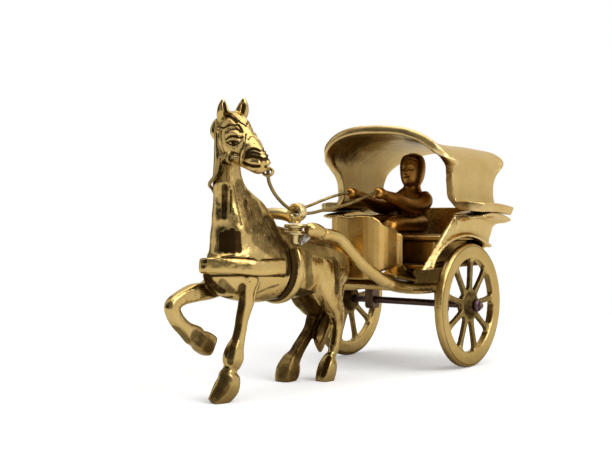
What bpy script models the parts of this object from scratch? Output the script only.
"""A cast brass ornament: one horse in harness drawing a two-wheeled covered carriage with a seated driver.

Lengths here are millimetres. at() turns them to metres, and moves the axle to its place behind the origin,
which lies on the ground under the middle of the whole piece. The horse faces -Y, its left side is +X, Z is up.
Points of the horse are counted from its girth, and points of the carriage from its axle.
"""

import math

import bmesh
import bpy
from mathutils import Vector
from mathutils.bvhtree import BVHTree

MM = 0.001
GAP = 0.3  # clearance between castings that rest on one another
RUNNING_GAP = 0.3  # clearance between the turning wheels and the axle rod

# Wheels and axle
WHEEL_RADIUS = 32.0
WHEEL_SPOKES = 9
SPOKE_PHASE = 85.5  # one spoke, in degrees above the rear
RIM_DEPTH = 8.2
RIM_WIDTH = 4.8
RIM_ROUNDING = 1.3
SPOKE_WIDTH = 2.5
SPOKE_FLARE = 1.8  # at the rim, on each side
SPOKE_HUB_FLARE = 0.7
SPOKE_THICKNESS = 2.6
HUB_RADIUS = 5.9
HUB_LENGTH = 8.0
AXLE_RADIUS = 1.8
NUT_RADIUS = 3.1
NUT_LENGTH = 2.2
AXLE_END = 1.6  # rod standing out of the nut
AXLE_Z = WHEEL_RADIUS

# Places along the length
AXLE_Y = 58.9  # axle behind the origin

# Shafts and running gear
SHAFT_X = 22.0  # from the centre plane
SHAFT_REAR_Z = AXLE_Z + 9.0
SHAFT_TIP_Z = 72.4
SHAFT_TIP_RADIUS = 3.1
SHAFT_REAR_RADIUS = 2.9
SHAFT_TAIL = 5.0  # shaft running on behind the axle
BLOCK_WIDTH = 5.0
BLOCK_LENGTH = 7.5
BLOCK_DROP = 3.0  # block below the axle centre
CROSS_BAR_RADIUS = 2.4

# Cab
CAB_HALF_WIDTH = 33.9  # inside
CAB_WALL = 2.5
FLOOR_TOP = AXLE_Z + 22.0
FLOOR_THICKNESS = 2.4
SILL_FRONT_Y = -WHEEL_RADIUS - 10.0
WALL_TOP = FLOOR_TOP + 25.4
WALL_TOP_FRONT_Y = SILL_FRONT_Y + 32.0
WALL_TOP_REAR_Y = WHEEL_RADIUS - 1.0
WALL_FOOT_REAR_Y = WALL_TOP_REAR_Y - 8.0
WHEEL_INNER_FACE = CAB_HALF_WIDTH + 1.6  # from the centre plane
BACK_TOP = FLOOR_TOP + 29.0
ARCH_HALF_LENGTH = WHEEL_RADIUS + 4.0
ARCH_CREST = 2.0 * WHEEL_RADIUS + 3.3
ARCH_SPRING = AXLE_Z + 13.0
GUARD_REACH = 14.0  # mudguard standing out of the wall
GUARD_THICKNESS = 1.8
GUARD_FRONT_Y = WALL_TOP_FRONT_Y - 1.0
GUARD_REAR_Y = WALL_TOP_REAR_Y - 4.0
SEAT_TOP = FLOOR_TOP + 14.5
SEAT_THICKNESS = 3.0
SEAT_FRONT_Y = SILL_FRONT_Y + 19.0
SEAT_OVERHANG = 3.0
SEAT_BOX_HALF_WIDTH = 29.0
SEAT_BOX_REAR_Y = WALL_FOOT_REAR_Y - 8.0
SHEET = 2.2
RIVET_RADIUS = 1.5
RIVET_Y = SILL_FRONT_Y + 8.4
RIVET_Z = FLOOR_TOP + 1.6

# Dash board
DASH_HALF_WIDTH = 16.0
DASH_REAR_Y = SILL_FRONT_Y + 10.0
DASH_FRONT_Y = DASH_REAR_Y - 22.0
DASH_CORNER = 11.0
DASH_BOW = 0.6  # bulge of its front
DASH_TOP = FLOOR_TOP + 23.3
DASH_APRON = 7.0  # board below the floor's top
DASH_SHEET = 1.9

# Canopy
CANOPY_SHEET = 2.1
FLANGE_Z = WALL_TOP + 4.8
FLANGE_REACH = 15.0
FLANGE_DROOP = 2.0
FLANGE_FRONT_Y = WALL_TOP_FRONT_Y - 2.5
FLANGE_REAR_Y = WALL_TOP_REAR_Y + 0.5
ROOF_SPRING = FLANGE_Z + 14.0
ROOF_FRONT_CREST = FLANGE_Z + 41.2
# share of the way back, drop of the crest
ROOF_CREST_DROPS = (
    (0.0, 0.0),
    (0.05, 0.9),
    (0.12, 2.8),
    (0.22, 5.4),
    (0.4, 7.2),
    (0.6, 7.6),
    (0.8, 7.6),
    (1.0, 8.6),
)
ROOF_LEAN = 0.045  # the cast roof leans to its left, as height per width
ROOF_FRONT_Y = WALL_TOP_FRONT_Y - 20.0
ROOF_REAR_Y = WALL_TOP_REAR_Y + 24.0
FRONT_LIP_FLARE = 4.4
REAR_LIP_FLARE = 3.2
STUD_RADIUS = 1.3
STUD_OUT = 6.6  # studs beyond the outside of the cab walls
STUD_FRONT_Y = GUARD_FRONT_Y + 6.0
STUD_REAR_Y = GUARD_REAR_Y - 6.0

# Harness, counted from the girth
HORSE_CLEARANCE = 3.1  # between tail and dash board
TAIL_REACH = 48.3  # rearmost point of the tail, behind the girth
GIRTH_REACH = TAIL_REACH + HORSE_CLEARANCE + DASH_BOW - DASH_FRONT_Y  # girth in front of the axle
CROSS_BAR_Y = SILL_FRONT_Y + 4.0
STRAP_THICKNESS = 1.7
BREAST_STRAP_WIDTH = 6.6
BREAST_STRAP_Z = 56.1
BREAST_STRAP_TILT = 0.05
GIRTH_WIDTH = 8.0
GIRTH_Y = -7.5
YOKE_RADIUS = 2.7
YOKE_CREST_Z = 79.4
YOKE_Y = -7.2
SPOOL_X = 13.5
SPOOL_RADIUS = 5.0
SPOOL_TOP = 74.7
SPOOL_PLATE = 1.7
SPOOL_NECK = 1.4
PEG_LENGTH = 4.2
TERRET_RADIUS = 2.9
TERRET_WIRE = 1.15
TERRET_LENGTH = 4.8
TERRET_Z = 80.0
REIN_RADIUS = 0.75
RING_RADIUS = 2.0
RING_WIRE = 0.65

# Figure
DRIVER_Y = SEAT_FRONT_Y + 29.0
HAND_X = 8.5
HAND_Y = SEAT_FRONT_Y - 16.0
HAND_Z = SEAT_TOP + 21.5
FIST_REACH = 3.3  # front of the fist beyond the hand's middle
FIST_GAP = 0.4  # from the fist to the end of its rein

BRASS = ((0.62, 0.44, 0.16), 0.24, 1.0)
PALE_BRASS = ((0.70, 0.54, 0.25), 0.30, 1.0)
SOLDER = ((0.55, 0.52, 0.45), 0.38, 1.0)
STEEL = ((0.09, 0.08, 0.075), 0.42, 0.9)


def clear_scene():
    for obj in list(bpy.data.objects):
        bpy.data.objects.remove(obj)


def at(x, y, z):
    """A carriage point in millimetres, as a world point in metres."""
    return Vector((x, y + AXLE_Y, z)) * MM


def horse_at(x, y, z):
    """A point counted from the horse's girth, as a world point in metres."""
    return at(x, y - GIRTH_REACH, z)


def finish(name, look):
    colour, roughness, metallic = look
    material = bpy.data.materials.new(name + "_finish")
    material.use_nodes = True
    shader = material.node_tree.nodes["Principled BSDF"]
    shader.inputs["Base Color"].default_value = (*colour, 1.0)
    shader.inputs["Roughness"].default_value = roughness
    shader.inputs["Metallic"].default_value = metallic
    return material


def make_object(name, points, faces, look=BRASS, origin=(0.0, 0.0, 0.0), crease=38.0):
    """A mesh object from world points, with its faces turned outward and its origin where asked."""
    base = Vector(origin)
    mesh = bpy.data.meshes.new(name)
    mesh.from_pydata([Vector(point) - base for point in points], [], faces)
    shape = bmesh.new()
    shape.from_mesh(mesh)
    bmesh.ops.recalc_face_normals(shape, faces=shape.faces)
    shape.to_mesh(mesh)
    shape.free()
    mesh.shade_smooth()
    mesh.set_sharp_from_angle(angle=math.radians(crease))
    mesh.materials.append(finish(name, look))
    obj = bpy.data.objects.new(name, mesh)
    obj.location = base
    bpy.context.scene.collection.objects.link(obj)
    return obj


def loft_faces(count, sides, first=0, closed=False):
    """Quads between rings of equal point counts, with end caps unless the row of rings is closed."""
    faces = []
    for ring in range(count if closed else count - 1):
        here = first + ring * sides
        there = first + ((ring + 1) % count) * sides
        for k in range(sides):
            after = (k + 1) % sides
            faces.append((here + k, here + after, there + after, there + k))
    if not closed:
        last = first + (count - 1) * sides
        faces.append(tuple(range(first + sides - 1, first - 1, -1)))
        faces.append(tuple(range(last, last + sides)))
    return faces


def loft(rings, closed=False):
    points = [point for ring in rings for point in ring]
    return points, loft_faces(len(rings), len(rings[0]), closed=closed)


def joined(shapes):
    """Several point and face lists as one."""
    points, faces = [], []
    for more_points, more_faces in shapes:
        start = len(points)
        points += more_points
        faces += [tuple(start + index for index in face) for face in more_faces]
    return points, faces


def make_cutter(name, points, faces):
    cutter = make_object(name, points, faces)
    cutter.hide_render = True
    cutter.display_type = "WIRE"
    return cutter


def combine(obj, other, operation):
    boolean = obj.modifiers.new(operation.lower() + "_" + other.name, "BOOLEAN")
    boolean.operation = operation
    boolean.object = other
    return obj


def smooth_path(points, steps):
    """Points on a smooth curve through the given ones."""
    ends = [points[0] * 2 - points[1]] + list(points) + [points[-1] * 2 - points[-2]]
    path = []
    for a, b, c, d in zip(ends, ends[1:], ends[2:], ends[3:]):
        for step in range(steps):
            t = step / steps
            bend = (2 * a - 5 * b + 4 * c - d) * t**2
            twist = (3 * b - a - 3 * c + d) * t**3
            path.append(0.5 * ((2 * b) + (c - a) * t + bend + twist))
    path.append(points[-1])
    return path


def round_ring(centre, along, side, half_width, half_depth, sides, squareness=0.0):
    """An ellipse square to a direction, or a softly squared one; side is the direction of its half width."""
    along = along.normalized()
    side = (side - along * side.dot(along)).normalized()
    up = along.cross(side)
    ring = []
    for k in range(sides):
        turn = math.tau * (k + 0.5) / sides
        across, upward = math.cos(turn), math.sin(turn)
        square = (abs(across) ** 5 + abs(upward) ** 5) ** -0.2
        swell = 1.0 + (square * 0.93 - 1.0) * squareness
        ring.append(centre + (side * across * half_width + up * upward * half_depth) * swell)
    return ring


def tube(path, widths, depths, sides, side=Vector((1, 0, 0)), squareness=0.0):
    """A bar of elliptical section along a path of world points, its half widths in metres."""
    rings = []
    for k, point in enumerate(path):
        along = path[min(k + 1, len(path) - 1)] - path[max(k - 1, 0)]
        rings.append(round_ring(point, along, side, widths[k], depths[k], sides, squareness))
    return loft(rings)


def even(values, count):
    """A list of values resampled evenly to a count."""
    out = []
    for k in range(count):
        place = k * (len(values) - 1) / (count - 1)
        low = min(int(place), len(values) - 2)
        out.append(values[low] + (values[low + 1] - values[low]) * (place - low))
    return out


def limb(stations, steps=3, sides=12, side=Vector((1, 0, 0)), squareness=0.0):
    """A limb of the horse or the driver: stations hold a world point, a half width and a half depth."""
    path = smooth_path([station[0] for station in stations], steps)
    widths = [value * MM for value in even([station[1] for station in stations], len(path))]
    depths = [value * MM for value in even([station[2] for station in stations], len(path))]
    return tube(path, widths, depths, sides, side, squareness)


def wire(name, path, radius, sides=6, look=PALE_BRASS):
    widths = [radius * MM] * len(path)
    points, faces = tube(path, widths, widths, sides, Vector((0.3, 0, 1)))
    return make_object(name, points, faces, look, path[0])


def turned(profile, centre, segments):
    """A closed profile of (radius, place along X), turned about the X axis through a world point."""
    rings = []
    for k in range(segments):
        turn = math.tau * k / segments
        ring = []
        for radius, along in profile:
            ring.append(centre + Vector((along, radius * math.cos(turn), radius * math.sin(turn))) * MM)
        rings.append(ring)
    return loft(rings, closed=True)


def slab(outline, low, high, plane):
    """An outline of two coordinates pulled between two levels: plane X takes (y, z), and Z takes (x, y)."""
    rings = []
    for level in (low, high):
        if plane == "X":
            rings.append([at(level, y, z) for y, z in outline])
        else:
            rings.append([at(x, y, level) for x, y in outline])
    return loft(rings)


def ease(t):
    t = min(max(t, 0.0), 1.0)
    return t * t * (3 - 2 * t)


def between(table, place):
    """A value read from (place, value) pairs, eased from one to the next."""
    if place <= table[0][0]:
        return table[0][1]
    for (a, low), (b, high) in zip(table, table[1:]):
        if place <= b:
            return low + (high - low) * (place - a) / (b - a)
    return table[-1][1]


# Horse

HEAD_YAW = math.radians(68.0)  # the head is turned to the horse's left
HEAD_DROP = math.radians(32.0)
POLL = (0.0, -37.5, 118.4)


def head_axes():
    """Directions of the head: forward along the nose, to its left, and up through the forehead."""
    level = Vector((math.sin(HEAD_YAW), -math.cos(HEAD_YAW), 0.0))
    forward = level * math.cos(HEAD_DROP) - Vector((0, 0, math.sin(HEAD_DROP)))
    left = Vector((0, 0, 1)).cross(level)
    return forward, left, forward.cross(left)


def head_at(along, left, up):
    """A point of the head, counted from the poll."""
    forward_axis, left_axis, up_axis = head_axes()
    offset = forward_axis * along + left_axis * left + up_axis * up
    return horse_at(*(Vector(POLL) + offset))


def trunk():
    # place along the body, middle height, half height, half width
    stations = (
        (-51.6, 55.4, 2.6, 2.2),
        (-49.5, 55.4, 6.0, 4.4),
        (-44.5, 56.0, 10.6, 7.6),
        (-36.0, 57.0, 14.8, 11.2),
        (-20.0, 56.1, 16.1, 13.2),
        (-6.0, 55.9, 14.9, 13.2),
        (6.0, 54.7, 14.4, 12.6),
        (18.0, 54.5, 13.2, 12.8),
        (30.0, 54.5, 13.0, 12.8),
        (38.0, 53.5, 11.0, 10.5),
        (42.5, 52.5, 6.5, 6.0),
    )
    rings = []
    for y, z, half_height, half_width in stations:
        centre = horse_at(0, y, z)
        along, across = Vector((0, 1, 0)), Vector((1, 0, 0))
        rings.append(round_ring(centre, along, across, half_width * MM, half_height * MM, 20))
    return loft(rings)


def neck():
    return limb(
        (
            (horse_at(0, -25.6, 52.0), 12.0, 21.0),
            (horse_at(0, -26.4, 60.0), 11.8, 20.8),
            (horse_at(0, -27.4, 67.0), 10.8, 19.2),
            (horse_at(0, -30.8, 76.0), 9.7, 15.4),
            (horse_at(0, -34.2, 82.5), 8.2, 11.2),
            (horse_at(0, -37.0, 88.6), 6.3, 7.6),
            (horse_at(0, -38.6, 94.5), 5.5, 6.4),
            (horse_at(0, -38.8, 101.0), 5.0, 5.8),
            (horse_at(0, -38.6, 108.0), 4.7, 6.0),
            (horse_at(0, -38.2, 114.5), 4.8, 5.8),
            (horse_at(0, -37.4, 119.0), 3.6, 4.2),
        ),
        steps=2,
        sides=16,
        squareness=0.5,
    )


def withers():
    """The ridge of the back, from the foot of the neck to the loins."""
    return limb(
        (
            (horse_at(0, -26.0, 66.5), 6.0, 6.6),
            (horse_at(0, -15.0, 68.6), 5.6, 6.2),
            (horse_at(0, -5.0, 68.4), 5.0, 5.4),
            (horse_at(0, 5.0, 67.4), 5.0, 4.4),
            (horse_at(0, 14.0, 65.3), 5.0, 4.2),
            (horse_at(0, 23.0, 64.4), 4.8, 4.0),
            (horse_at(0, 30.0, 62.0), 4.0, 3.0),
        ),
        steps=2,
        sides=14,
    )


def head():
    forward, left, up = head_axes()
    # along the nose, shift up, half height, half width
    stations = (
        (-4.5, -1.6, 3.4, 3.2),
        (-1.5, -1.2, 6.0, 5.2),
        (4.0, -1.3, 8.2, 6.5),
        (10.0, -1.9, 9.2, 6.9),
        (16.0, -2.7, 8.8, 5.9),
        (22.0, -2.1, 7.5, 4.9),
        (28.0, -1.3, 6.4, 4.6),
        (32.5, -1.0, 5.3, 4.5),
        (35.2, -1.0, 4.2, 3.8),
        (36.6, -1.0, 2.2, 2.2),
    )
    rings = []
    for along, shift, half_height, half_width in stations:
        centre = head_at(along, 0, shift)
        rings.append(round_ring(centre, forward, left, half_width * MM, half_height * MM, 16))
    return loft(rings)


def poll_tuft():
    """The lump of mane that stands out beside the poll."""
    return limb(
        (
            (horse_at(-4.2, -39.0, 111.5), 2.2, 2.0),
            (horse_at(-5.4, -40.0, 114.5), 2.6, 2.4),
            (horse_at(-5.0, -39.6, 118.0), 2.0, 2.0),
            (horse_at(-3.4, -38.8, 120.2), 1.4, 1.4),
        ),
        steps=2,
        sides=10,
    )


def ear(hand):
    rise = 1.12 if hand > 0 else 1.0  # the left ear stands higher
    stations = (
        (head_at(1.0, 3.6 * hand, 2.0), 2.8, 2.2),
        (head_at(0.7, 4.4 * hand, 4.8 * rise), 2.9 * rise, 1.9),
        (head_at(-0.3, 4.8 * hand, 7.6 * rise), 2.2 * rise, 1.4),
        (head_at(-1.5, 4.8 * hand, 10.1 * rise), 0.8, 0.8),
    )
    return limb(stations, steps=2, sides=8, side=head_axes()[1])


def legs():
    left_fore = (
        (horse_at(7.0, -31.0, 58.0), 6.0, 8.0),
        (horse_at(7.8, -34.0, 51.0), 4.4, 5.4),
        (horse_at(7.6, -34.9, 42.4), 3.1, 3.5),
        (horse_at(7.2, -36.2, 37.4), 2.8, 3.1),
        (horse_at(6.8, -37.4, 32.3), 2.6, 2.8),
        (horse_at(6.4, -38.5, 27.2), 2.6, 2.8),
        (horse_at(6.0, -40.0, 22.4), 3.2, 3.7),
        (horse_at(5.6, -41.2, 17.6), 4.1, 4.6),
        (horse_at(5.3, -42.4, 13.4), 3.3, 3.7),
        (horse_at(5.0, -43.2, 10.6), 4.3, 4.8),
        (horse_at(4.8, -44.2, 7.0), 5.3, 5.9),
        (horse_at(4.6, -45.6, 3.4), 5.1, 5.6),
        (horse_at(4.4, -47.2, -0.8), 4.6, 5.0),
    )
    right_fore = (
        (horse_at(-7.0, -32.0, 52.0), 5.5, 8.0),
        (horse_at(-8.0, -42.0, 46.6), 3.8, 4.4),
        (horse_at(-8.0, -51.2, 45.7), 3.5, 4.1),
        (horse_at(-8.0, -59.0, 43.9), 2.9, 3.3),
        (horse_at(-8.0, -63.7, 41.2), 2.9, 3.3),
        (horse_at(-8.0, -63.0, 37.6), 2.8, 3.3),
        (horse_at(-8.0, -60.2, 34.0), 2.8, 3.3),
        (horse_at(-8.0, -56.2, 30.8), 3.0, 3.5),
        (horse_at(-8.0, -51.4, 27.9), 4.2, 5.0),
        (horse_at(-8.0, -47.0, 25.2), 4.1, 4.8),
        (horse_at(-8.0, -42.8, 22.8), 4.2, 4.9),
        (horse_at(-8.0, -40.0, 21.0), 3.4, 4.0),
    )
    left_hind = (
        (horse_at(7.0, 22.0, 57.0), 6.5, 11.0),
        (horse_at(8.0, 20.5, 47.5), 5.6, 8.4),
        (horse_at(7.8, 24.5, 40.0), 4.8, 6.2),
        (horse_at(7.2, 29.3, 34.8), 4.2, 4.8),
        (horse_at(6.8, 31.8, 30.6), 3.5, 4.0),
        (horse_at(6.5, 32.3, 26.4), 2.9, 3.2),
        (horse_at(6.2, 31.9, 21.6), 2.6, 2.9),
        (horse_at(6.0, 31.6, 16.8), 2.8, 3.1),
        (horse_at(6.0, 30.5, 12.8), 3.3, 3.7),
        (horse_at(5.8, 29.0, 9.8), 3.4, 3.8),
        (horse_at(5.6, 27.2, 7.6), 3.6, 4.0),
        (horse_at(5.4, 26.1, 4.6), 4.3, 4.8),
        (horse_at(5.2, 25.6, 2.0), 4.6, 5.1),
        (horse_at(5.0, 25.4, -0.8), 4.4, 4.9),
    )
    right_hind = (
        (horse_at(-7.0, 26.0, 56.0), 6.5, 11.0),
        (horse_at(-7.8, 27.8, 45.0), 5.6, 11.6),
        (horse_at(-8.2, 32.6, 38.0), 4.8, 9.8),
        (horse_at(-8.8, 36.8, 30.2), 4.3, 5.4),
        (horse_at(-9.0, 34.6, 25.4), 3.8, 4.3),
        (horse_at(-9.0, 30.4, 22.2), 3.1, 3.5),
        (horse_at(-9.0, 26.2, 18.8), 3.0, 3.4),
        (horse_at(-9.0, 23.4, 15.8), 3.2, 3.6),
        (horse_at(-9.0, 21.4, 12.6), 3.4, 3.8),
        (horse_at(-9.0, 18.6, 10.0), 3.7, 4.1),
        (horse_at(-9.0, 16.2, 7.4), 4.5, 5.0),
        (horse_at(-9.0, 14.6, 4.8), 5.0, 5.6),
        (horse_at(-9.0, 13.2, 2.2), 4.8, 5.4),
        (horse_at(-9.0, 12.4, -0.8), 4.6, 5.2),
    )
    return [limb(leg, steps=2) for leg in (left_fore, right_fore, left_hind, right_hind)]


def tail():
    return limb(
        (
            (horse_at(0.0, TAIL_REACH - 12.3, 62.0), 2.6, 2.6),
            (horse_at(-0.4, TAIL_REACH - 5.8, 59.0), 2.8, 2.8),
            (horse_at(-1.0, TAIL_REACH - 3.7, 50.0), 3.3, 3.3),
            (horse_at(-1.8, TAIL_REACH - 5.3, 38.0), 3.8, 3.8),
            (horse_at(-2.8, TAIL_REACH - 10.9, 27.0), 3.6, 3.6),
            (horse_at(-4.0, TAIL_REACH - 14.7, 19.3), 3.4, 3.4),
            (horse_at(-5.0, TAIL_REACH - 13.6, 14.6), 2.2, 2.2),
            (horse_at(-5.6, TAIL_REACH - 12.7, 11.6), 0.9, 0.9),
        ),
        sides=10,
    )


def horse_casting():
    shapes = [trunk(), neck(), withers(), head(), poll_tuft(), ear(1), ear(-1), tail()] + legs()
    points, faces = joined(shapes)
    horse = make_object("horse_casting", points, faces, BRASS, horse_at(0, 0, 0))
    skin = horse.modifiers.new("one skin", "REMESH")
    skin.mode = "VOXEL"
    skin.voxel_size = 0.95 * MM
    skin.use_smooth_shade = True
    soften = horse.modifiers.new("soft joins", "SMOOTH")
    soften.factor = 0.5
    soften.iterations = 5
    thin = horse.modifiers.new("fewer facets", "DECIMATE")
    thin.ratio = 0.10
    ground = [(-40.0, -90.0), (40.0, -90.0), (40.0, 60.0), (-40.0, 60.0)]
    rings = [[horse_at(x, y, level) for x, y in ground] for level in (-8.0, 0.0)]
    combine(horse, make_cutter("ground_cut", *loft(rings)), "DIFFERENCE")
    return horse


def skin_of(obj):
    """The evaluated surface of an object, for pieces that lie on it."""
    graph = bpy.context.evaluated_depsgraph_get()
    evaluated = obj.evaluated_get(graph)
    mesh = evaluated.to_mesh()
    place = obj.matrix_world
    points = [place @ vertex.co for vertex in mesh.vertices]
    faces = [tuple(polygon.vertices) for polygon in mesh.polygons]
    evaluated.to_mesh_clear()
    return BVHTree.FromPolygons(points, faces)


def reach(tree, centre, direction, far=60.0):
    """How far from a centre, along a direction, the outermost surface lies, in metres."""
    start = centre + direction * far * MM
    hit = tree.ray_cast(start, -direction, far * MM)[0]
    return (hit - centre).length if hit else 0.0


def taut(radii, step):
    """Radii about a centre raised so that a strap round them bends only outward."""
    count = len(radii)
    flat = [(radii[k] * math.cos(k * step), radii[k] * math.sin(k * step)) for k in range(count)]
    tight = []
    for k in range(count):
        ray = (math.cos(k * step), math.sin(k * step))
        best = radii[k]
        for i in range(max(0, k - 12), k):
            for j in range(k + 1, min(count, k + 13)):
                (ax, ay), (bx, by) = flat[i], flat[j]
                dx, dy = bx - ax, by - ay
                cross = ray[0] * dy - ray[1] * dx
                if abs(cross) > 1e-12:
                    best = max(best, (ax * dy - ay * dx) / cross)
        tight.append(best)
    return tight


def strap(name, tree, centre, frame, width, reach_turn, count):
    """A band on the horse, in the plane of its frame's first two directions; the third is its width."""
    first, second, across = frame
    step = 2 * reach_turn / (count - 1)
    turns = [step * k - reach_turn for k in range(count)]
    rows = [-0.5, -0.25, 0.0, 0.25, 0.5]
    radii = []
    for turn in turns:
        direction = first * math.cos(turn) + second * math.sin(turn)
        radii.append(max(reach(tree, centre + across * width * row * MM, direction) for row in rows))
    radii = taut(radii, step)
    clear = (GAP + 0.15) * MM
    rings = []
    for turn, radius in zip(turns, radii):
        direction = first * math.cos(turn) + second * math.sin(turn)
        inner = radius + clear
        outer = inner + STRAP_THICKNESS * MM
        section = ((inner, -0.5), (outer, -0.42), (outer, 0.42), (inner, 0.5))
        rings.append([centre + direction * r + across * width * w * MM for r, w in section])
    points, faces = loft(rings)
    return make_object(name, points, faces, BRASS, centre, crease=50.0)


def harness_straps(tree):
    forward = Vector((0, -1, BREAST_STRAP_TILT)).normalized()
    sideways = Vector((1, 0, 0))
    breast = (forward, sideways, sideways.cross(forward) * -1.0)
    centre = horse_at(0, -26.0, BREAST_STRAP_Z)
    strap("breast_strap", tree, centre, breast, BREAST_STRAP_WIDTH, math.radians(122.0), 39)
    girth = (Vector((0, 0, -1)), sideways, Vector((0, 1, 0)))
    strap("girth_strap", tree, horse_at(0, GIRTH_Y, 56.0), girth, GIRTH_WIDTH, math.radians(124.0), 37)


def torus(centre, axis, ring_radius, across_wire, along_wire, around=14, sides=8):
    """A ring about an axis; its wire has one half width square to the axis and another along it."""
    axis = axis.normalized()
    side = axis.orthogonal().normalized()
    up = axis.cross(side)
    rings = []
    for k in range(around):
        turn = math.tau * k / around
        outward = side * math.cos(turn) + up * math.sin(turn)
        ring = []
        for j in range(sides):
            bend = math.tau * (j + 0.5) / sides
            radius = ring_radius + across_wire * math.cos(bend)
            ring.append(centre + (outward * radius + axis * along_wire * math.sin(bend)) * MM)
        rings.append(ring)
    return loft(rings, closed=True)


def yoke_arch():
    """The arch over the back, with a rein ring cast on each end."""
    base = SPOOL_TOP + GAP
    span = SPOOL_X - 1.5
    rise = YOKE_CREST_Z - base
    path = [horse_at(span, YOKE_Y, base), horse_at(span, YOKE_Y, base + GAP)]
    for k in range(1, 12):
        turn = math.pi * k / 12
        path.append(horse_at(span * math.cos(turn), YOKE_Y, base + rise * math.sin(turn) ** 0.8))
    path.append(horse_at(-span, YOKE_Y, base + GAP))
    path.append(horse_at(-span, YOKE_Y, base))
    widths = [YOKE_RADIUS * MM] * len(path)
    points, faces = tube(path, widths, widths, 10, Vector((0, 1, 0)))
    arch = make_object("yoke_arch", points, faces, PALE_BRASS, horse_at(0, YOKE_Y, YOKE_CREST_Z))
    for side, hand in (("left", 1), ("right", -1)):
        centre = horse_at(SPOOL_X * hand, YOKE_Y, TERRET_Z)
        ring = torus(centre, Vector((0, 1, 0)), TERRET_RADIUS, TERRET_WIRE, TERRET_LENGTH / 2)
        combine(arch, make_cutter("terret_" + side, *ring), "UNION")


def lathe(levels, centre, sides):
    """A solid turned about an upright axis, from (radius, height) pairs counted from its centre."""
    rings = []
    for radius, height in levels:
        ring = []
        for k in range(sides):
            turn = math.tau * k / sides
            ring.append(centre + Vector((radius * math.cos(turn), radius * math.sin(turn), height)) * MM)
        rings.append(ring)
    return loft(rings)


def tug_spool(side, hand):
    """Two stacked plates between yoke and shaft, with the peg that hangs from them."""
    low = -2 * SPOOL_PLATE - SPOOL_NECK
    levels = (
        (1.2, low - PEG_LENGTH),
        (1.9, low),
        (SPOOL_RADIUS - 0.4, low),
        (SPOOL_RADIUS, low + 0.4),
        (SPOOL_RADIUS, low + SPOOL_PLATE - 0.4),
        (SPOOL_RADIUS - 0.4, low + SPOOL_PLATE),
        (SPOOL_RADIUS - 1.4, low + SPOOL_PLATE + SPOOL_NECK / 2),
        (SPOOL_RADIUS - 0.4, -SPOOL_PLATE),
        (SPOOL_RADIUS, 0.4 - SPOOL_PLATE),
        (SPOOL_RADIUS, -0.4),
        (SPOOL_RADIUS - 0.4, 0.0),
    )
    centre = horse_at(SPOOL_X * hand, YOKE_Y - 1.4, SPOOL_TOP)
    points, faces = lathe(levels, centre, 16)
    make_object("tug_spool_" + side, points, faces, PALE_BRASS, centre)


def solder_joint(side, hand):
    """The bead that runs from the peg, under the lower plate, to the shaft tip."""
    underside = SPOOL_TOP - 2 * SPOOL_PLATE - SPOOL_NECK - GAP
    stations = (
        (horse_at((SPOOL_X + 2.1) * hand, YOKE_Y - 0.4, underside - 1.6), 0.7, 0.9),
        (horse_at((SPOOL_X + 2.9) * hand, YOKE_Y - 0.4, underside - 1.5), 1.3, 1.5),
        (horse_at((SPOOL_X + 4.3) * hand, YOKE_Y - 0.4, underside - 1.4), 1.5, 1.6),
        (horse_at((SPOOL_X + 5.9) * hand, YOKE_Y - 0.4, underside - 0.3), 1.3, 1.4),
        (horse_at((SPOOL_X + 6.4) * hand, YOKE_Y - 0.4, underside + 0.1), 0.7, 0.8),
    )
    points, faces = limb(stations, steps=2, sides=10, side=Vector((0, 1, 0)))
    make_object("solder_" + side, points, faces, SOLDER, stations[0][0])


def rein_path(hand, before, after):
    """A rein from its bit, through its terret, to the fist; after holds x, share of the way and sag."""
    end = Vector((HAND_X * hand, HAND_Y + GIRTH_REACH - FIST_REACH - FIST_GAP, HAND_Z - 0.2))
    points = list(before) + [(SPOOL_X * hand, YOKE_Y, TERRET_Z)]
    for x, share, sag in after:
        y = YOKE_Y + (end.y - YOKE_Y) * share
        points.append((x, y, TERRET_Z + (end.z - TERRET_Z) * share - sag))
    points.append(tuple(end))
    return points


def reins():
    left = (
        (25.8, -42.2, 98.6),
        (24.5, -41.0, 96.5),
        (21.6, -36.6, 92.2),
        (18.8, -29.2, 87.4),
        (16.0, -19.8, 83.3),
        (14.2, -12.2, 81.0),
    )
    left_rest = (
        (12.9, 0.135, 1.8),
        (11.2, 0.343, 2.2),
        (10.2, 0.533, 2.4),
        (9.6, 0.685, 2.1),
        (9.0, 0.867, 0.7),
    )
    right = (
        (16.2, -50.3, 102.1),
        (13.4, -52.0, 102.5),
        (9.8, -51.9, 103.0),
        (5.8, -49.8, 102.6),
        (3.6, -48.6, 99.4),
        (0.8, -47.2, 95.4),
        (-4.8, -44.6, 92.0),
        (-7.2, -40.2, 90.0),
        (-8.9, -36.0, 88.0),
        (-11.0, -25.0, 84.6),
        (-13.1, -13.5, 81.4),
    )
    right_rest = (
        (-13.5, 0.135, 1.7),
        (-13.2, 0.343, 3.2),
        (-12.8, 0.57, 3.0),
        (-11.8, 0.726, 1.6),
        (-10.0, 0.868, 0.2),
    )
    for side, hand, before, after in (("left", 1, left, left_rest), ("right", -1, right, right_rest)):
        places = rein_path(hand, before, after)
        path = smooth_path([horse_at(*place) for place in places], 3)
        wire("rein_" + side, path, REIN_RADIUS)
        centre = horse_at(*places[1])
        points, faces = torus(centre, path[4] - path[2], RING_RADIUS, RING_WIRE, RING_WIRE)
        make_object("bit_ring_" + side, points, faces, PALE_BRASS, centre)


def build_horse_team():
    horse = horse_casting()
    tree = skin_of(horse)
    harness_straps(tree)
    yoke_arch()
    for side, hand in (("left", 1), ("right", -1)):
        tug_spool(side, hand)
        solder_joint(side, hand)
    reins()


# Wheels

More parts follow.
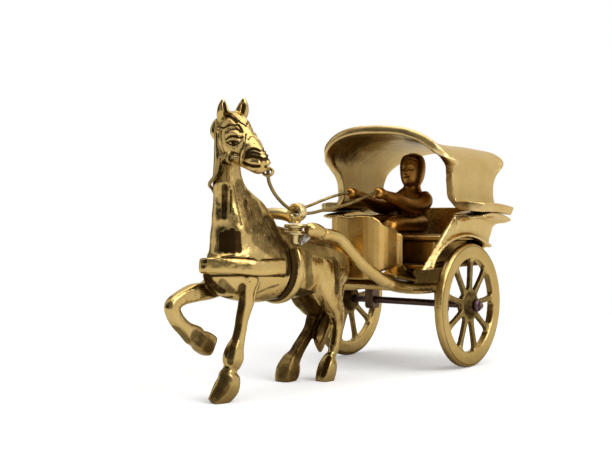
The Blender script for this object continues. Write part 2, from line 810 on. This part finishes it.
def spoke_window(k):
    """The opening between two spokes in (y, z), about the axle: spokes flare where they meet rim and hub."""
    low = HUB_RADIUS + 2.6
    high = WHEEL_RADIUS - RIM_DEPTH + 0.35
    middle = math.tau * (k + 0.5) / WHEEL_SPOKES + math.radians(SPOKE_PHASE)
    steps = 7
    edge = []
    for step in range(steps):
        share = step / (steps - 1)
        radius = low + (high - low) * (0.5 - 0.5 * math.cos(math.pi * share))
        flare = (SPOKE_FLARE if share > 0.5 else SPOKE_HUB_FLARE) * abs(2 * share - 1) ** 3
        edge.append((radius, math.pi / WHEEL_SPOKES - (SPOKE_WIDTH / 2 + flare) / radius))
    bows = (-0.6, -0.2, 0.2, 0.6)
    outline = [(radius, middle - half) for radius, half in edge]
    outline += [(high, middle + edge[-1][1] * bow) for bow in bows]
    outline += [(radius, middle + half) for radius, half in reversed(edge)]
    return [(radius * math.cos(turn), AXLE_Z + radius * math.sin(turn)) for radius, turn in outline]


def wheel(side, hand):
    centre = at(0, 0, AXLE_Z)
    inner = WHEEL_INNER_FACE
    outer = inner + RIM_WIDTH
    middle = (inner + outer) / 2
    low = WHEEL_RADIUS - RIM_DEPTH
    soft = RIM_ROUNDING
    bore = AXLE_RADIUS + RUNNING_GAP
    near = middle - HUB_LENGTH / 2
    far = middle + HUB_LENGTH / 2
    web = SPOKE_THICKNESS / 2
    profile = [
        (bore, near),
        (HUB_RADIUS - 0.8, near),
        (HUB_RADIUS, near + 0.8),
        (HUB_RADIUS, middle - web),
        (low, middle - web),
        (low, inner + soft),
        (low + soft, inner),
        (WHEEL_RADIUS - soft, inner),
        (WHEEL_RADIUS, inner + soft),
        (WHEEL_RADIUS, outer - soft),
        (WHEEL_RADIUS - soft, outer),
        (low + soft, outer),
        (low, outer - soft),
        (low, middle + web),
        (HUB_RADIUS, middle + web),
        (HUB_RADIUS, far - 1.6),
        (HUB_RADIUS - 1.4, far),
        (bore, far),
    ]
    points, faces = turned([(r, x * hand) for r, x in profile], centre, 36)
    obj = make_object("wheel_" + side, points, faces, BRASS, centre)
    windows = []
    for k in range(WHEEL_SPOKES):
        windows.append(slab(spoke_window(k), (inner - 1.0) * hand, (outer + 1.0) * hand, "X"))
    combine(obj, make_cutter("spoke_windows_" + side, *joined(windows)), "DIFFERENCE")
    return far


def hub_nut(side, hand, hub_end):
    start = hub_end + RUNNING_GAP
    bore = AXLE_RADIUS + GAP
    profile = [
        (bore, start),
        (NUT_RADIUS, start),
        (NUT_RADIUS, start + NUT_LENGTH - 0.7),
        (NUT_RADIUS - 0.7, start + NUT_LENGTH),
        (bore, start + NUT_LENGTH),
    ]
    centre = at(0, 0, AXLE_Z)
    points, faces = turned([(r, x * hand) for r, x in profile], centre, 12)
    make_object("hub_nut_" + side, points, faces, STEEL, centre + Vector((start * hand * MM, 0, 0)))
    return start + NUT_LENGTH


def axle_rod(end):
    half = end + AXLE_END
    path = [at(-half, 0, AXLE_Z), at(half, 0, AXLE_Z)]
    widths = [AXLE_RADIUS * MM] * 2
    points, faces = tube(path, widths, widths, 12, Vector((0, 0, 1)))
    make_object("axle_rod", points, faces, STEEL, at(0, 0, AXLE_Z))


# Running gear

def shaft_stations():
    """Place along the length, height and radius of a shaft's middle, from its tip to behind the axle."""
    tip_y = -GIRTH_REACH - 11.2
    drop = SHAFT_TIP_Z - SHAFT_REAR_Z
    return (
        (tip_y, SHAFT_TIP_Z, 1.8),
        (tip_y + 2.0, SHAFT_TIP_Z, 2.9),
        (tip_y + 6.0, SHAFT_TIP_Z - drop * 0.01, SHAFT_TIP_RADIUS),
        (tip_y + 9.8, SHAFT_TIP_Z - drop * 0.04, 2.8),
        (tip_y + 11.6, SHAFT_TIP_Z - drop * 0.055, 2.2),
        (tip_y + 13.4, SHAFT_TIP_Z - drop * 0.07, 2.7),
        (tip_y + 24.0, SHAFT_TIP_Z - drop * 0.135, 2.7),
        (tip_y + 34.0, SHAFT_TIP_Z - drop * 0.35, 2.8),
        (tip_y + 48.5, SHAFT_TIP_Z - drop * 0.63, 2.9),
        (CROSS_BAR_Y - 12.0, SHAFT_TIP_Z - drop * 0.875, 3.1),
        (CROSS_BAR_Y + 8.0, SHAFT_TIP_Z - drop * 0.975, 3.0),
        (-10.0, SHAFT_REAR_Z, SHAFT_REAR_RADIUS),
        (SHAFT_TAIL, SHAFT_REAR_Z, SHAFT_REAR_RADIUS - 0.2),
    )


def shaft_top(y):
    """Height of the shaft's upper side at a place along the length."""
    table = [(place, z + radius) for place, z, radius in shaft_stations()]
    return between(table, y)


def shaft(side, hand):
    stations = [(at(SHAFT_X * hand, y, z), radius, radius) for y, z, radius in shaft_stations()]
    points, faces = limb(stations, steps=2, sides=10)
    make_object("shaft_" + side, points, faces, PALE_BRASS, stations[0][0])


def axle_block(side, hand):
    half_y = BLOCK_LENGTH / 2
    top = SHAFT_REAR_Z - SHAFT_REAR_RADIUS - GAP
    bottom = AXLE_Z - AXLE_RADIUS - BLOCK_DROP
    soft = 1.2
    outline = [
        (-half_y, top),
        (-half_y, bottom + soft),
        (-half_y + soft, bottom),
        (half_y - soft, bottom),
        (half_y, bottom + soft),
        (half_y, top),
    ]
    low = (SHAFT_X - BLOCK_WIDTH / 2) * hand
    high = (SHAFT_X + BLOCK_WIDTH / 2) * hand
    points, faces = slab(outline, low, high, "X")
    block = make_object("axle_block_" + side, points, faces, STEEL, at(SHAFT_X * hand, 0, AXLE_Z))
    reach_x = SHAFT_X + BLOCK_WIDTH
    path = [at((reach_x - 2 * BLOCK_WIDTH) * hand, 0, AXLE_Z), at(reach_x * hand, 0, AXLE_Z)]
    widths = [(AXLE_RADIUS + GAP) * MM] * 2
    bore = make_cutter("bore_" + side, *tube(path, widths, widths, 12, Vector((0, 0, 1))))
    combine(block, bore, "DIFFERENCE")


def cross_bar():
    table = [(y, z) for y, z, radius in shaft_stations()]
    half = SHAFT_X - 3.1 - GAP
    path = [at(x, CROSS_BAR_Y, between(table, CROSS_BAR_Y)) for x in (-half, half)]
    widths = [CROSS_BAR_RADIUS * MM] * 2
    points, faces = tube(path, widths, widths, 10, Vector((0, 0, 1)))
    make_object("shaft_cross_bar", points, faces, BRASS, at(0, CROSS_BAR_Y, between(table, CROSS_BAR_Y)))


def build_running_gear():
    for side, hand in (("left", 1), ("right", -1)):
        hub_end = wheel(side, hand)
        rod_end = hub_nut(side, hand, hub_end)
        shaft(side, hand)
        axle_block(side, hand)
    axle_rod(rod_end)
    cross_bar()


# Cab

def wall_outline():
    """The cab side in (y, z): slanted front edge, wheel arch below, raked rear edge."""
    foot = FLOOR_TOP - FLOOR_THICKNESS
    outline = [(WALL_TOP_FRONT_Y, WALL_TOP), (SILL_FRONT_Y, foot)]
    half_height = ARCH_CREST - ARCH_SPRING
    start = math.asin((foot - ARCH_SPRING) / half_height)
    rear_z = FLOOR_TOP + 7.0
    stop = math.pi - math.asin((rear_z - ARCH_SPRING) / half_height)
    middle_y = -2.0
    steps = 14
    for k in range(steps + 1):
        turn = start + (stop - start) * k / steps
        y = middle_y - ARCH_HALF_LENGTH * math.cos(turn)
        outline.append((y, ARCH_SPRING + half_height * math.sin(turn)))
    outline[-1] = (WALL_FOOT_REAR_Y + 2.0, outline[-1][1])
    outline.append((WALL_TOP_REAR_Y, WALL_TOP))
    return outline


def guard_height(y):
    """Height of the mudguard's ridge: highest over the wheel, drooping behind it."""
    share = (y - 4.0) / 23.0
    return WALL_TOP + 1.5 - 4.4 * share * share


def mudguard(hand):
    wall = CAB_HALF_WIDTH + CAB_WALL
    rings = []
    steps = 10
    for k in range(steps + 1):
        share = k / steps
        y = GUARD_FRONT_Y + (GUARD_REAR_Y - GUARD_FRONT_Y) * share
        corner = 1.0 - 0.42 * max(0.0, abs(share - 0.5) * 2 - 0.8) / 0.2
        reach_out = GUARD_REACH * corner
        top = guard_height(y)
        section = (
            (wall - 1.6, 0.0),
            (wall + reach_out * 0.6, -0.4),
            (wall + reach_out, -1.0),
            (wall + reach_out, -0.8 - GUARD_THICKNESS),
            (wall + reach_out * 0.45, -1.0 - GUARD_THICKNESS),
            (wall + reach_out * 0.2, -2.4 - GUARD_THICKNESS),
            (wall + 0.9, -7.0),
            (wall + 0.2, -9.5),
            (wall - 1.6, -9.5),
        )
        rings.append([at(x * hand, y, top + z) for x, z in section])
    return loft(rings)


def cab_tub():
    wall = CAB_HALF_WIDTH + CAB_WALL
    outline = wall_outline()
    left_points, left_faces = slab(outline, CAB_HALF_WIDTH, wall, "X")
    tub = make_object("cab_tub", left_points, left_faces, PALE_BRASS, at(0, 0, FLOOR_TOP))
    combine(tub, make_cutter("cab_side_right", *slab(outline, -wall, -CAB_HALF_WIDTH, "X")), "UNION")
    thick = CAB_WALL + 0.6
    foot_y = back_wall_y(FLOOR_TOP - FLOOR_THICKNESS)
    high_y = back_wall_y(BACK_TOP)
    back_outline = [
        (foot_y, FLOOR_TOP - FLOOR_THICKNESS),
        (foot_y + thick, FLOOR_TOP - FLOOR_THICKNESS),
        (high_y + thick, BACK_TOP - 0.5),
        (high_y + thick * 0.5, BACK_TOP),
        (high_y, BACK_TOP - 0.5),
    ]
    inside = CAB_HALF_WIDTH + 0.1
    combine(tub, make_cutter("cab_back", *slab(back_outline, -inside, inside, "X")), "UNION")
    for side, hand in (("left", 1), ("right", -1)):
        combine(tub, make_cutter("mudguard_" + side, *mudguard(hand)), "UNION")


def dash_plan(inset):
    """Half plan of the dash board from its rear edge to the middle of its front, as (x, y)."""
    half = DASH_HALF_WIDTH - inset
    corner = DASH_CORNER - inset
    front = DASH_FRONT_Y + inset
    plan = [(half, DASH_REAR_Y), (half, DASH_REAR_Y - 5.0), (half, front + corner)]
    for k in range(1, 6):
        turn = math.pi / 2 * k / 6
        plan.append((half - corner * (1 - math.cos(turn)), front + corner * (1 - math.sin(turn))))
    plan.append((half - corner, front))
    plan.append((0.0, front - DASH_BOW))
    return plan


def back_wall_y(z):
    """Front of the raked back wall at a height."""
    slant = (WALL_TOP_REAR_Y - WALL_FOOT_REAR_Y) / (WALL_TOP - FLOOR_TOP)
    return WALL_FOOT_REAR_Y - CAB_WALL - 0.7 + slant * (z - FLOOR_TOP)


def both_sides(half_plan):
    """A half plan running to the middle, mirrored into a whole outline."""
    return [(-x, y) for x, y in half_plan] + [(x, y) for x, y in reversed(half_plan[:-1])]


def dash_foot(hand, clearance):
    """The sloping foot beside the dash board, which comes down onto the shaft."""
    # place along the length and height of its inner edge
    stations = (
        (DASH_REAR_Y - 18.0, 50.4),
        (DASH_REAR_Y - 14.0, 52.2),
        (DASH_REAR_Y - 7.0, 53.4),
        (DASH_REAR_Y + 2.0, 53.6),
    )
    inner = DASH_HALF_WIDTH + 1.3
    outer = SHAFT_X + 3.0
    rings = []
    for y, top in stations:
        foot = shaft_top(y) + clearance
        section = ((inner, foot), (outer, foot), (outer, foot + 1.4), (inner, top))
        rings.append([at(x * hand, y, z) for x, z in section])
    return loft(rings)


def floor_plate():
    half = CAB_HALF_WIDTH - GAP
    step = DASH_REAR_Y + GAP
    low = FLOOR_TOP - FLOOR_THICKNESS
    half_plan = [
        (half, back_wall_y(low) - GAP),
        (half, SILL_FRONT_Y + 4.0),
        (half - 6.0, SILL_FRONT_Y + 5.0),
        (DASH_HALF_WIDTH + 2.0, step),
    ]
    inside_dash = dash_plan(DASH_SHEET + GAP)
    half_plan.append((inside_dash[0][0], step))
    outline = both_sides(half_plan + inside_dash[1:])
    points, faces = slab(outline, low, FLOOR_TOP, "Z")
    floor = make_object("floor_plate", points, faces, PALE_BRASS, at(0, 0, FLOOR_TOP))
    ribs = []
    for hand in (1, -1):
        ends = [DASH_REAR_Y + 1.0, DASH_REAR_Y + 8.0, -10.0, SHAFT_TAIL]
        bottom = [(y, shaft_top(y) + GAP) for y in ends]
        rib = bottom + [(ends[-1], low + 0.8), (ends[0], low + 0.8)]
        ribs.append(slab(rib, (SHAFT_X - 2.4) * hand, (SHAFT_X + 2.4) * hand, "X"))
    combine(floor, make_cutter("floor_ribs", *joined(ribs)), "UNION")
    combine(floor, make_cutter("dash_feet", *joined([dash_foot(1, GAP), dash_foot(-1, GAP)])), "UNION")


def dash_top(y):
    """The board is highest in front and steps down along its wings."""
    steps = (
        (DASH_FRONT_Y - DASH_BOW, DASH_TOP - 0.6),
        (DASH_FRONT_Y + 1.0, DASH_TOP + 0.9),
        (DASH_REAR_Y - 17.0, DASH_TOP + 0.2),
        (DASH_REAR_Y - 14.5, DASH_TOP - 3.6),
        (DASH_REAR_Y - 4.5, DASH_TOP - 5.6),
        (DASH_REAR_Y, DASH_TOP - 8.6),
    )
    return between(steps, y)


def dash_board():
    outer_half = dash_plan(0.0)
    inner_half = dash_plan(DASH_SHEET)
    outer = both_sides(outer_half)
    inner = both_sides(inner_half)
    rings = []
    for (ox, oy), (ix, iy) in zip(outer, inner):
        top = dash_top((oy + iy) / 2)
        wing = ease((oy - DASH_FRONT_Y) / 8.0)
        foot = FLOOR_TOP - DASH_APRON + (DASH_APRON - 3.0) * wing
        rings.append([at(ox, oy, foot), at(ox, oy, top), at(ix, iy, top), at(ix, iy, foot)])
    points, faces = loft(rings)
    make_object("dash_board", points, faces, BRASS, at(0, DASH_FRONT_Y, FLOOR_TOP))


def seat_bench():
    half = CAB_HALF_WIDTH - GAP
    top_low = SEAT_TOP - SEAT_THICKNESS
    rear = back_wall_y(top_low) - GAP
    outline = [
        (SEAT_FRONT_Y + 0.8, SEAT_TOP),
        (SEAT_FRONT_Y, SEAT_TOP - 0.9),
        (SEAT_FRONT_Y, top_low + 0.6),
        (SEAT_FRONT_Y + 0.6, top_low),
        (rear, top_low),
        (back_wall_y(SEAT_TOP) - GAP, SEAT_TOP),
    ]
    points, faces = slab(outline, -half, half, "X")
    bench = make_object("seat_bench", points, faces, BRASS, at(0, SEAT_FRONT_Y, SEAT_TOP))
    front = SEAT_FRONT_Y + SEAT_OVERHANG
    box_half = SEAT_BOX_HALF_WIDTH
    rear = SEAT_BOX_REAR_Y
    plan = [
        (-box_half, rear),
        (-box_half, front),
        (box_half, front),
        (box_half, rear),
        (box_half - SHEET, rear),
        (box_half - SHEET, front + SHEET),
        (SHEET - box_half, front + SHEET),
        (SHEET - box_half, rear),
    ]
    combine(bench, make_cutter("seat_box", *slab(plan, FLOOR_TOP + GAP, top_low + 1.0, "Z")), "UNION")


def side_rivet(side, hand):
    """A round rivet head at the foot of each cab side."""
    start = CAB_HALF_WIDTH + CAB_WALL + GAP
    centre = at(start * hand, RIVET_Y, RIVET_Z)
    outward = Vector((1, 0, 0))
    rings = []
    for share, out in ((1.0, 0.0), (0.9, 0.6), (0.5, 1.0)):
        radius = RIVET_RADIUS * share * MM
        middle = centre + outward * out * hand * MM
        rings.append(round_ring(middle, outward, Vector((0, 1, 0)), radius, radius, 12))
    points, faces = loft(rings)
    make_object("side_rivet_" + side, points, faces, BRASS, centre)


def build_cab():
    for side, hand in (("left", 1), ("right", -1)):
        side_rivet(side, hand)
    cab_tub()
    floor_plate()
    dash_board()
    seat_bench()


# Canopy

def flange_droop(v):
    """How far the flange sinks towards its rear end."""
    return FLANGE_DROOP * max(0.0, v - 0.3) ** 2 / 0.49


def canopy_section(v):
    """Half of the outer section, from the flange's edge to the crest, as (x, z, share of the way up)."""
    wall = CAB_HALF_WIDTH + CAB_WALL
    edge = 2.0 * abs(v - 0.5)
    flare = FRONT_LIP_FLARE if v < 0.5 else REAR_LIP_FLARE
    lip = flare * max(0.0, (edge - 0.78) / 0.22) ** 1.5
    crest = ROOF_FRONT_CREST - between(ROOF_CREST_DROPS, v) - lip
    droop = flange_droop(v)
    flange = [(wall + FLANGE_REACH * s, FLANGE_Z - droop - 1.2 * s * s) for s in (1.0, 0.93, 0.7, 0.45, 0.25)]
    cove = [(wall + 1.6, FLANGE_Z - droop + 0.2), (wall + 0.4, FLANGE_Z - droop + 1.3)]
    rise = ROOF_SPRING - FLANGE_Z
    walls = [(wall, FLANGE_Z + rise * s) for s in (0.25, 0.5, 0.75)]
    roof = []
    steps = 9
    for k in range(steps + 1):
        turn = math.pi / 2 * k / steps
        across = math.cos(turn) ** (2 / 2.7)
        up = math.sin(turn) ** (2 / 2.15)
        out = lip * ease(k / 3.0)
        flat = wall + 0.9 * ease(k / 3.0) + out
        roof.append((flat * across if k < steps else 0.0, ROOF_SPRING + (crest + out - ROOF_SPRING) * up))
    return flange + cove + walls + roof


def canopy_edges(x, z):
    """Front and rear ends of the canopy sheet at a point of its section."""
    wall = CAB_HALF_WIDTH + CAB_WALL
    if x > wall + 1.8:
        out = (x - wall) / FLANGE_REACH
        round_off = 5.0 * max(0.0, out - 0.75) / 0.25
        return FLANGE_FRONT_Y + round_off, FLANGE_REAR_Y - round_off - 3.0 * out
    height = (z - FLANGE_Z) / (ROOF_FRONT_CREST - FLANGE_Z)
    front = (
        (0.0, FLANGE_FRONT_Y),
        (0.10, WALL_TOP_FRONT_Y - 2.6),
        (0.28, WALL_TOP_FRONT_Y - 3.4),
        (0.44, WALL_TOP_FRONT_Y - 6.5),
        (0.58, WALL_TOP_FRONT_Y - 13.0),
        (0.72, WALL_TOP_FRONT_Y - 17.0),
        (1.0, ROOF_FRONT_Y),
    )
    rear = (
        (0.0, FLANGE_REAR_Y),
        (0.10, FLANGE_REAR_Y - 1.0),
        (0.28, FLANGE_REAR_Y - 1.0),
        (0.44, FLANGE_REAR_Y + 4.0),
        (0.56, FLANGE_REAR_Y + 11.5),
        (0.68, FLANGE_REAR_Y + 17.5),
        (0.76, ROOF_REAR_Y),
    )
    return between(front, height), between(rear, height)


def canopy_point(half, k, v):
    x, z = half[k]
    front, rear = canopy_edges(x, z)
    return Vector((x, front + (rear - front) * v, z))


def lean(point):
    """A canopy point with the roof's slight lean, none at the flanges."""
    share = ease((point.z - ROOF_SPRING) / (ROOF_FRONT_CREST - ROOF_SPRING))
    return Vector((point.x, point.y, point.z - ROOF_LEAN * point.x * share))


def canopy():
    steps = [0.0, 0.045, 0.10, 0.22, 0.36, 0.5, 0.64, 0.78, 0.90, 0.955, 1.0]
    grid = []
    for v in steps:
        half = canopy_section(v)
        row = [canopy_point(half, k, v) for k in range(len(half))]
        whole = [Vector((-p.x, p.y, p.z)) for p in row[:-1]] + list(reversed(row))
        grid.append([lean(p) for p in whole])
    rows, columns = len(grid), len(grid[0])
    outer, inner = [], []
    for i in range(rows):
        for j in range(columns):
            across = grid[i][min(j + 1, columns - 1)] - grid[i][max(j - 1, 0)]
            along = grid[min(i + 1, rows - 1)][j] - grid[max(i - 1, 0)][j]
            normal = across.cross(along).normalized()
            if normal.z < -0.2:
                normal = -normal
            outer.append(at(*grid[i][j]))
            inner.append(at(*(grid[i][j] - normal * CANOPY_SHEET)))
    shift = len(outer)
    faces = []
    for i in range(rows - 1):
        for j in range(columns - 1):
            a = i * columns + j
            faces.append((a, a + 1, a + columns + 1, a + columns))
            faces.append((shift + a, shift + a + columns, shift + a + columns + 1, shift + a + 1))
    rim = [j for j in range(columns)]
    rim += [i * columns + columns - 1 for i in range(1, rows)]
    rim += [(rows - 1) * columns + j for j in range(columns - 2, -1, -1)]
    rim += [i * columns for i in range(rows - 2, 0, -1)]
    for a, b in zip(rim, rim[1:] + rim[:1]):
        faces.append((b, a, shift + a, shift + b))
    make_object("canopy", outer + inner, faces, PALE_BRASS, at(0, 0, FLANGE_Z))


def canopy_studs():
    stud_x = CAB_HALF_WIDTH + CAB_WALL + STUD_OUT
    for place, y in (("front", STUD_FRONT_Y), ("rear", STUD_REAR_Y)):
        low = guard_height(y) + GAP
        out = STUD_OUT / FLANGE_REACH
        droop = flange_droop((y - FLANGE_FRONT_Y) / (FLANGE_REAR_Y - FLANGE_FRONT_Y))
        high = FLANGE_Z - droop - 1.2 * out * out - CANOPY_SHEET - GAP - 0.2
        for side, hand in (("left", 1), ("right", -1)):
            centre = at(stud_x * hand, y, low)
            points, faces = lathe(((STUD_RADIUS, 0.0), (STUD_RADIUS, high - low)), centre, 10)
            make_object(f"canopy_stud_{place}_{side}", points, faces, PALE_BRASS, centre)


def build_canopy():
    canopy()
    canopy_studs()


# Driver

def driver_figure():
    seat = SEAT_TOP + GAP
    y = DRIVER_Y
    torso = limb(
        (
            (at(0, y + 0.5, seat + 1.0), 8.0, 5.5),
            (at(0, y + 0.5, seat + 6.0), 8.2, 5.8),
            (at(0, y, seat + 12.0), 8.0, 5.4),
            (at(0, y - 0.5, seat + 18.0), 9.2, 5.6),
            (at(0, y - 0.5, seat + 21.5), 7.0, 4.6),
            (at(0.4, y - 0.5, seat + 24.5), 3.4, 3.2),
            (at(0.8, y - 0.8, seat + 27.5), 3.2, 3.2),
        ),
        sides=14,
    )
    head_shape = limb(
        (
            (at(0.7, y - 1.0, seat + 25.5), 3.0, 3.4),
            (at(0.8, y - 1.2, seat + 29.0), 5.4, 5.8),
            (at(0.9, y - 1.0, seat + 33.5), 6.8, 6.8),
            (at(0.9, y - 0.8, seat + 38.0), 6.7, 6.8),
            (at(0.9, y - 0.6, seat + 41.5), 4.8, 5.2),
            (at(0.9, y - 0.6, seat + 43.2), 1.6, 1.8),
        ),
        sides=14,
    )
    nose = limb(
        (
            (at(0.9, y - 7.0, seat + 35.2), 0.8, 0.8),
            (at(0.9, y - 8.3, seat + 32.6), 1.2, 1.2),
            (at(0.9, y - 6.6, seat + 31.4), 1.0, 1.0),
        ),
        steps=2,
        sides=8,
    )
    shapes = [torso, head_shape, nose]
    for hand in (1, -1):
        arm = (
            (at(7.2 * hand, y, seat + 18.6), 3.0, 3.4),
            (at(8.8 * hand, y - 3.0, seat + 13.0), 3.0, 3.4),
            (at(9.4 * hand, y - 9.0, seat + 10.0), 2.9, 3.0),
            (at(9.2 * hand, y - 22.0, HAND_Z - 5.5), 2.6, 2.6),
            (at(HAND_X * hand, HAND_Y + 6.0, HAND_Z - 1.6), 2.2, 2.2),
            (at(HAND_X * hand, HAND_Y, HAND_Z - 0.4), 2.6, 2.4),
            (at(HAND_X * hand, HAND_Y - FIST_REACH, HAND_Z - 0.2), 2.0, 2.0),
        )
        shapes.append(limb(arm, sides=10))
        leg = (
            (at(4.8 * hand, y + 1.0, seat + 4.4), 4.4, 4.4),
            (at(6.6 * hand, y - 12.0, seat + 4.6), 4.2, 4.2),
            (at(7.4 * hand, SEAT_FRONT_Y - 3.0, seat + 4.0), 3.9, 3.9),
            (at(7.4 * hand, SEAT_FRONT_Y - 5.0, seat - 1.0), 3.3, 3.3),
            (at(7.2 * hand, SEAT_FRONT_Y - 4.6, seat - 8.0), 2.8, 2.8),
            (at(7.2 * hand, SEAT_FRONT_Y - 4.2, FLOOR_TOP + 2.8), 2.4, 2.6),
        )
        shapes.append(limb(leg, sides=10))
        foot = (
            (at(7.2 * hand, SEAT_FRONT_Y - 3.4, FLOOR_TOP + 2.2), 2.3, 1.5),
            (at(7.4 * hand, SEAT_FRONT_Y - 8.0, FLOOR_TOP + 2.1), 2.5, 1.4),
            (at(7.6 * hand, SEAT_FRONT_Y - 12.0, FLOOR_TOP + 1.9), 1.9, 1.1),
        )
        shapes.append(limb(foot, steps=2, sides=8))
    points, faces = joined(shapes)
    driver = make_object("driver_figure", points, faces, BRASS, at(0, y, seat))
    skin = driver.modifiers.new("one skin", "REMESH")
    skin.mode = "VOXEL"
    skin.voxel_size = 0.8 * MM
    skin.use_smooth_shade = True
    soften = driver.modifiers.new("soft joins", "SMOOTH")
    soften.factor = 0.5
    soften.iterations = 3
    thin = driver.modifiers.new("fewer facets", "DECIMATE")
    thin.ratio = 0.085
    under = []
    seat_cut = (SEAT_FRONT_Y - GAP, WALL_TOP_REAR_Y, seat)
    floor_cut = (DASH_FRONT_Y, SEAT_FRONT_Y, FLOOR_TOP + GAP)
    for front, rear, top in (seat_cut, floor_cut):
        box = [(front, top - 6.0), (rear, top - 6.0), (rear, top), (front, top)]
        under.append(slab(box, -DASH_HALF_WIDTH, DASH_HALF_WIDTH, "X"))
    combine(driver, make_cutter("seat_and_floor_cut", *joined(under)), "DIFFERENCE")


def main():
    clear_scene()
    build_horse_team()
    build_running_gear()
    build_cab()
    build_canopy()
    driver_figure()


main()
